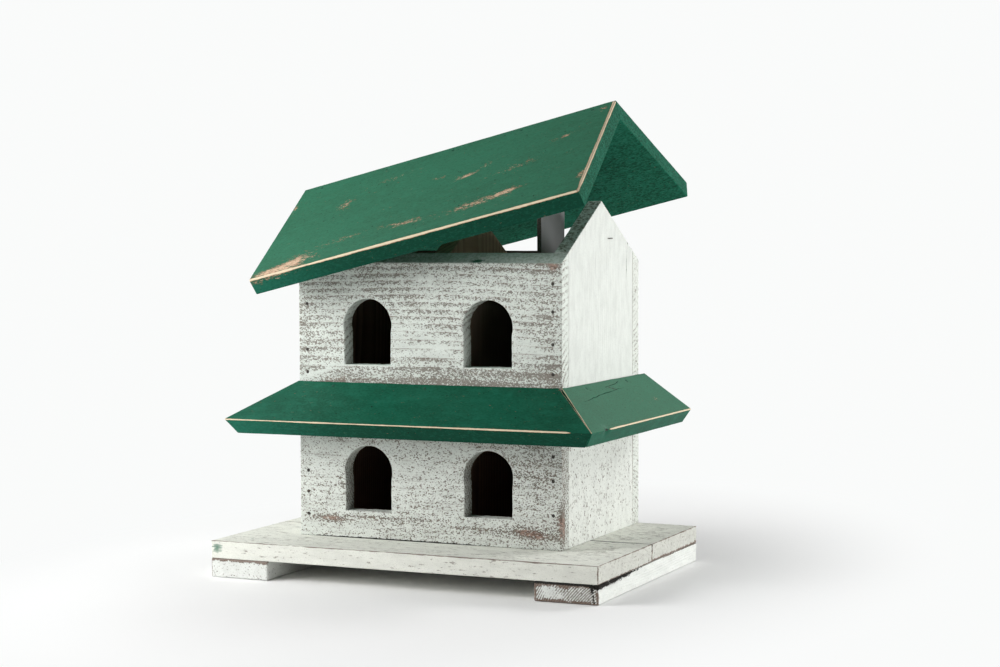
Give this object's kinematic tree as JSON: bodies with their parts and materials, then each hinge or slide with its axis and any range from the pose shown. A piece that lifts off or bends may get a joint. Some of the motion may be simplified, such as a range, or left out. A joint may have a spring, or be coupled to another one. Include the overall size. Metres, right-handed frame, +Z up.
{
  "type": "birdhouse",
  "caption": "Two-storey wooden birdhouse with arched entrances, a mitred skirt roof, a plank base on feet and a loose gable roof propped open at one end.",
  "frame": {"origin": "on the ground, under the middle of the whole object's box", "axes": "+X along the ridge to the right seen from the front, +Y to the back, +Z up"},
  "size_m": [0.448, 0.3598, 0.5116],
  "materials": {
    "white_paint": "weathered white paint on rough-sawn boards",
    "green_paint": "worn dark green paint, rubbed through to wood on the edges",
    "bare_wood": "bare planed wood",
    "hardboard": "white-faced thin board with brown edges",
    "old_steel": "dark rusted steel"
  },
  "bodies": {
    "house": {"foot_left": "white_paint", "foot_right": "white_paint", "base_plank_front": "white_paint", "base_plank_back": "white_paint", "lower_front": "white_paint", "lower_back": "white_paint", "lower_left": "white_paint", "lower_right": "white_paint", "lower_partition": "bare_wood", "upper_floor": "bare_wood", "upper_front": "white_paint", "upper_back": "white_paint", "gable_left": "white_paint", "gable_right": "white_paint", "upper_partition": "bare_wood", "skirt_front": "green_paint", "skirt_left": "green_paint", "skirt_right": "green_paint", "nails_upper_front": "old_steel", "nails_upper_back": "old_steel", "nails_lower_front": "old_steel", "nails_lower_back": "old_steel", "nails_base": "old_steel", "nails_skirt": "green_paint", "gable_staple": "old_steel"},
    "roof": {"roof_plank_front": "green_paint", "roof_plank_back": "green_paint", "nails_ridge": "green_paint"},
    "prop": {"roof_prop": "hardboard"}
  },
  "joints": [
    {"name": "roof_tip", "type": "hinge", "parent": "house", "child": "roof", "pos_m": [-0.155, 0.0086, 0.3385], "axis": [0, -1, 0], "range_deg": [0, 46]},
    {"name": "prop_lean", "type": "hinge", "parent": "house", "child": "prop", "pos_m": [0.098, 0.0086, 0.1985], "axis": [0, 1, 0], "range_deg": [0, 11]}
  ]
}
